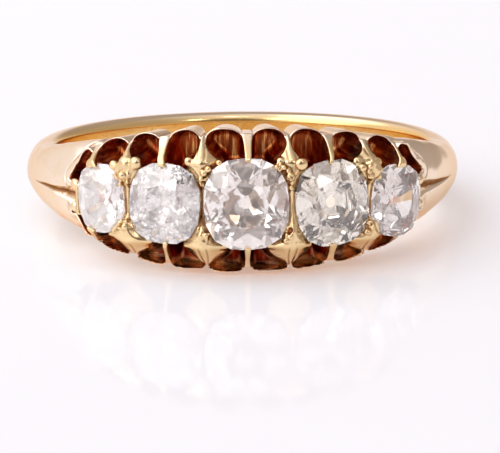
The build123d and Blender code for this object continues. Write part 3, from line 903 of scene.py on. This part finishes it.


def gold_material():
    """Yellow gold: tarnished, redder and rougher in the pockets, with painted shade, glints and glow there;
    painted shade in the creases; a deeper painted bounce colour inside the hoop and on the raised carving.
    """
    made, n, shader = material("yellow_gold")
    spot = n.attribute("place", "Vector")
    hollow = n.attribute("hollow")
    _, level, height = n.add("ShaderNodeSeparateXYZ", {0: spot}).node.outputs

    clouds = n.ramp(n.noise(spot, CLOUD_SCALE), [(0.35, BLACK), (0.65, WHITE)])
    metal = n.mix(clouds, *GOLD_CLOUDS)
    # painted bounce colour inside the hoop
    metal = n.mix(n.fade(height, *INSIDE_HEIGHTS), metal, GOLD_INSIDE_PAINTED_BOUNCE)
    # painted bounce colour on the raised carving
    metal = n.mix(n.fade(height, *RAISED_HEIGHTS), metal, GOLD_RAISED_PAINTED_BOUNCE)
    # painted shade in the creases
    painted_crease_shade = n.math("MULTIPLY", n.attribute("crease"), PAINTED_CREASE_SHADE_STRENGTH, clamp=True)
    metal = n.mix(painted_crease_shade, metal, PAINTED_CREASE_SHADE)

    lower = n.fade(level, *LOWER_LEVELS)
    # tarnish and painted shade in the pockets
    tarnish_and_painted_shade = n.ramp(n.noise(spot, 1.0, TARNISH_AND_SHADE_STRETCH, 4.0), TARNISH_AND_PAINTED_SHADE)
    # the lower pockets get painted shade
    tarnish_and_painted_shade = n.mix(lower, tarnish_and_painted_shade, n.mix(1.0, tarnish_and_painted_shade, LOWER_PAINTED_SHADE, "MULTIPLY"))
    # painted glints at the brink of the lower pockets
    painted_glints = n.math("MULTIPLY", n.attribute("brink"), lower)
    painted_glint_patches = n.ramp(n.noise(spot, PAINTED_GLINT_SCALE), [(0.42, BLACK), (0.60, WHITE)])
    painted_glints = n.math("MULTIPLY", painted_glints, painted_glint_patches)

    # painted glow of the glints in the pockets
    glow = n.math("MULTIPLY", n.math("MULTIPLY", painted_glints, hollow), PAINTED_GLINT_GLOW_STRENGTH)

    scratches = n.noise(spot, SCRATCH_SCALE, detail=5.0)
    rough = n.math("MULTIPLY_ADD", scratches, SCRATCH_ROUGHNESS, ROUGHNESS)
    uneven = n.noise(spot, BUMP_SCALE, detail=4.0)
    bump = {"Strength": BUMP_STRENGTH, "Distance": BUMP_DISTANCE, "Height": uneven}
    n.fill(shader, {
        "Base Color": n.mix(painted_glints, n.mix(hollow, metal, tarnish_and_painted_shade), PAINTED_GLINT),
        "Metallic": 1.0,
        "Specular Tint": n.mix(hollow, *EDGE_TINTS),
        "Emission Color": PAINTED_GLINT_GLOW,
        "Emission Strength": glow,
        "Roughness": n.math("ADD", rough, n.math("MULTIPLY", hollow, HOLLOW_ROUGHNESS)),
        "Normal": n.add("ShaderNodeBump", bump),
    })
    return made


wear(mount, gold_material())

# Each stone: how clear it is, its tint, the scale and amount of the feathers and specks inside it, and the
# strength of a painted glow that brightens it
LOOKS = {
    "stone_left_end": (0.90, (1.0, 0.97, 0.96), 2600, 0.3, 0.055),
    "stone_left": (0.88, (1.0, 0.95, 0.93), 4200, 0.7, 0.015),
    "stone_middle": (0.985, (1.0, 0.93, 0.88), 3000, 0.1, 0.008),
    "stone_right": (0.985, (1.0, 0.93, 0.82), 3000, 0.2, 0.0),
    "stone_right_end": (0.985, (1.0, 0.94, 0.91), 3000, 0.1, 0.017),
}
# Darker facets and specks: middle, inner and outer distance, colour, cells to the metre, share of cells. The
# middle stone's dark brown ring is a painted dark reflection; the left stone's specks are its inclusions
MARKS = {
    "stone_middle": [((-0.15, -10.83, 3.50), 0.42, 0.95, (0.15, 0.08, 0.045), 3200, 0.62)],
    "stone_left": [((-2.85, -9.93, 4.85), 0.0, 0.55, (0.05, 0.05, 0.05), 13000, 0.42)],
}
MARK_SOFTNESS = 0.06
# Painted glow: the stones emit light to look brighter, the milky end stone most
PAINTED_STONE_GLOW = (1.0, 0.95, 0.93)
SPECK_SHADE = 0.93
DIAMOND_IOR = 2.417


def diamond_material(name):
    """An old diamond: clear, with feathers and specks."""
    clear, tint, scale, amount, painted_glow_strength = LOOKS[name]
    made, n, shader = material(name + "_cut")
    spot = n.add("ShaderNodeTexCoord", {}, "Object")
    specks = n.noise(spot, scale, detail=5.0)
    colour = n.mix(specks, tint, tuple(SPECK_SHADE * c for c in tint))
    soft = MARK_SOFTNESS * MM
    for middle, inner, outer, dark, cell_scale, share in MARKS.get(name, []):
        centre = tuple(MM * c for c in middle)
        away = n.add("ShaderNodeVectorMath", {0: spot, 1: centre}, "Value", operation="DISTANCE")
        within = n.fade(away, outer * MM, outer * MM - soft)
        beyond = n.fade(away, inner * MM - soft, inner * MM)
        cells = n.add("ShaderNodeTexVoronoi", {"Vector": spot, "Scale": cell_scale}, "Color")
        chosen = n.math("LESS_THAN", cells, share)
        colour = n.mix(n.math("MULTIPLY", n.math("MULTIPLY", within, beyond), chosen), colour, dark)
    n.fill(shader, {
        "Transmission Weight": n.ramp(specks, [(0.5, (clear,) * 3), (0.72, (clear - amount,) * 3)]),
        "Base Color": colour,
        "Roughness": 0.0,
        "IOR": DIAMOND_IOR,
        "Emission Color": PAINTED_STONE_GLOW,
        "Emission Strength": painted_glow_strength,
    })
    return made


for name in LOOKS:
    wear(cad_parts[name], diamond_material(name))

# The camera's place and view, measured from the ring's centre before the ring is leaned
WIDTH, HEIGHT = 500, 453  # of the photo
DISTANCE, ELEVATION, YAW, ROLL = 153.5, math.radians(8.80), math.radians(0.847), math.radians(0.378)
FOCAL = 21.284 * DISTANCE  # in pixels, from the pixels to the millimetre at the ring's centre
RING_PIXEL = (242.33, 164.8)  # where the ring's centre falls
SENSOR = 36


def add_camera():
    ahead = Vector((math.sin(YAW), math.cos(YAW), 0))
    right = Vector((math.cos(YAW), -math.sin(YAW), 0))
    up = ahead * math.sin(ELEVATION) + Vector((0, 0, math.cos(ELEVATION)))
    forward = ahead * math.cos(ELEVATION) - Vector((0, 0, math.sin(ELEVATION)))
    rolled_right = right * math.cos(ROLL) - up * math.sin(ROLL)
    rolled_up = right * math.sin(ROLL) + up * math.cos(ROLL)
    basis = Matrix([rolled_right, rolled_up, -forward]).transposed()
    to_ring_pixel = Vector((RING_PIXEL[0] - WIDTH / 2, HEIGHT / 2 - RING_PIXEL[1], -FOCAL))
    turn = to_ring_pixel.normalized().rotation_difference(Vector((0, 0, -1))).to_matrix()
    lean = Matrix.Rotation(-LEAN, 3, "X")
    position = lean @ (-forward * DISTANCE) + Vector(RING_CENTRE)
    camera = bpy.data.objects.new("camera", bpy.data.cameras.new("camera"))
    camera.data.sensor_width = SENSOR
    camera.data.lens = SENSOR * FOCAL / WIDTH
    camera.data.clip_start = 0.01
    camera.data.clip_end = 10
    camera.matrix_world = Matrix.Translation(position * MM) @ (lean @ basis @ turn).to_4x4()
    scene.collection.objects.link(camera)
    scene.camera = camera


add_camera()

BOARD = ((0.61, 0.715, 0.80), (0.63, 0.735, 0.82))
BOARD_GLOW, BOARD_GLOSS = (0.375, 0.265, 0.22), (0.98, 0.95, 0.97)
GLOSS_ROUGHNESS, GLOSS_SHARE = 0.06, 0.11
PAPER_SCALE = 60.0
HALF_FLOOR = 1.5  # metres


def board_material():
    """White board with a faint mirror of what stands on it."""
    made, n, shader = material("white_board")
    made.node_tree.nodes.remove(shader)
    paper = n.noise(n.add("ShaderNodeTexCoord", {}, "Object"), PAPER_SCALE)
    matt = n.add("ShaderNodeBsdfDiffuse", {"Color": n.mix(paper, *BOARD)})
    glow = n.add("ShaderNodeEmission", {"Color": BOARD_GLOW})
    lit = n.add("ShaderNodeAddShader", {0: matt, 1: glow})
    gloss = n.add("ShaderNodeBsdfAnisotropic", {"Color": BOARD_GLOSS, "Roughness": GLOSS_ROUGHNESS})
    board = n.add("ShaderNodeMixShader", {0: GLOSS_SHARE, 1: lit, 2: gloss})
    n.fill(made.node_tree.nodes["Material Output"], {"Surface": board})
    return made


floor_mesh = bpy.data.meshes.new("floor")
floor_corners = [(x * HALF_FLOOR, y * HALF_FLOOR, 0) for x, y in ((-1, -1), (1, -1), (1, 1), (-1, 1))]
floor_mesh.from_pydata(floor_corners, [], [(0, 1, 2, 3)])
floor_mesh.materials.append(board_material())
floor = bpy.data.objects.new("floor", floor_mesh)
scene.collection.objects.link(floor)

TENT = (0.98, 0.94, 0.965)
# Darker and brighter parts of the tent: toward where, full within and gone beyond a cosine, colour
TENT_PARTS = [
    ((1, 0.0, 0.1), 0.82, 0.1, (0.49, 0.44, 0.435)),
    ((0.3, 0.72, 0.6), 0.92, 0.74, (0.42, 0.38, 0.37)),
    ((0.1, -1, 0.25), 0.97, 0.82, (0.22, 0.17, 0.15)),
    ((-0.75, -0.45, 0.6), 0.93, 0.84, (2.3, 2.22, 2.2)),
    ((-0.62, 0.12, 0.8), 0.95, 0.85, (2.2, 2.14, 2.15)),
]
LAMPS = [(-0.35, -0.75, 0.55), (0.45, -0.70, 0.55), (0.05, -0.40, 0.90)]
TENT_PARTS += [(lamp, 0.9985, 0.995, (5.0, 4.85, 4.8)) for lamp in LAMPS]


def light_tent():
    """Soft light from all round, as from a tent of white cloth with lamps outside."""
    world = bpy.data.worlds.new("studio")
    scene.world = world
    world.use_nodes = True
    n = Nodes(world.node_tree)
    toward = n.add("ShaderNodeTexCoord", {}, "Generated")
    tent = TENT
    for direction, inner, outer, colour in TENT_PARTS:
        aim = tuple(Vector(direction).normalized())
        cosine = n.add("ShaderNodeVectorMath", {0: toward, 1: aim}, "Value", operation="DOT_PRODUCT")
        tent = n.mix(n.fade(cosine, outer, inner, interpolation_type="SMOOTHSTEP"), tent, colour)
    n.fill(world.node_tree.nodes["Background"], {"Color": tent, "Strength": 1.0})


light_tent()

scene.view_settings.view_transform = "Standard"
scene.view_settings.look = "None"
scene.cycles.max_bounces = 24
scene.cycles.transmission_bounces = 20
scene.cycles.glossy_bounces = 10
scene.cycles.caustics_reflective = True
scene.cycles.caustics_refractive = True
scene.cycles.use_denoising = True
